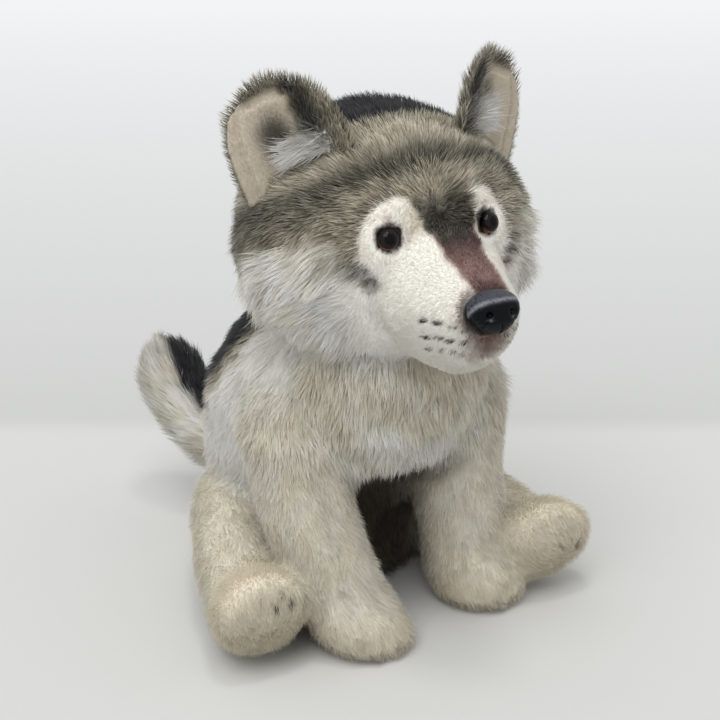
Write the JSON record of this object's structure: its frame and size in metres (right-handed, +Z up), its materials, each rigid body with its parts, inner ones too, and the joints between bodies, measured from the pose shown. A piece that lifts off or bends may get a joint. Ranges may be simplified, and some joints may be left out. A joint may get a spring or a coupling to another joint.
{
  "type": "plush wolf",
  "caption": "Soft toy wolf pup sitting on its rump, with stuffed head, torso, legs and tail, pricked ears and plastic eyes and nose.",
  "frame": {"origin": "middle of the flat base under the rump, on the floor", "axes": "+Z up, the wolf faces -Y, its left side is +X"},
  "size_m": [0.2135, 0.2916, 0.2926],
  "materials": {
    "white_pile": "cream-white long plush pile",
    "grey_pile": "frosted grey-brown plush pile, dark roots and light tips",
    "charcoal_pile": "charcoal plush pile, lightly frosted",
    "leg_pile": "light grey-white to beige plush pile",
    "short_pile": "cream very short plush pile",
    "ear_lining": "pinkish beige short pile",
    "stuffing": "white loose polyester fibre",
    "black_plastic": "glossy moulded black",
    "white_plastic": "plain moulded white"
  },
  "bodies": {
    "root": {"flank_left": "white_pile", "flank_right": "white_pile", "chest_bib": "white_pile", "neck_panel": "white_pile", "face_left": "white_pile", "face_right": "white_pile", "cheek_left": "white_pile", "cheek_right": "white_pile", "throat_panel": "white_pile", "tail_underside": "white_pile", "crown_panel": "grey_pile", "ear_back_left": "grey_pile", "ear_back_right": "grey_pile", "back_saddle": "charcoal_pile", "nape_panel": "charcoal_pile", "tail_top": "charcoal_pile", "rump_base": "leg_pile", "front_leg_outer_left": "leg_pile", "front_leg_outer_right": "leg_pile", "front_leg_inner_left": "leg_pile", "front_leg_inner_right": "leg_pile", "front_sole_left": "leg_pile", "front_sole_right": "leg_pile", "thigh_left": "leg_pile", "thigh_right": "leg_pile", "muzzle": "short_pile", "hind_foot_left": "short_pile", "hind_foot_right": "short_pile", "hind_sole_left": "short_pile", "hind_sole_right": "short_pile", "ear_lining_left": "ear_lining", "ear_lining_right": "ear_lining", "torso_stuffing": "stuffing", "head_stuffing": "stuffing", "tail_stuffing": "stuffing", "front_leg_stuffing_left": "stuffing", "front_leg_stuffing_right": "stuffing", "hind_leg_stuffing_left": "stuffing", "hind_leg_stuffing_right": "stuffing", "eye_left": "black_plastic", "eye_right": "black_plastic", "nose": "black_plastic", "eye_washer_left": "white_plastic", "eye_washer_right": "white_plastic", "nose_washer": "white_plastic"}
  },
  "joints": []
}
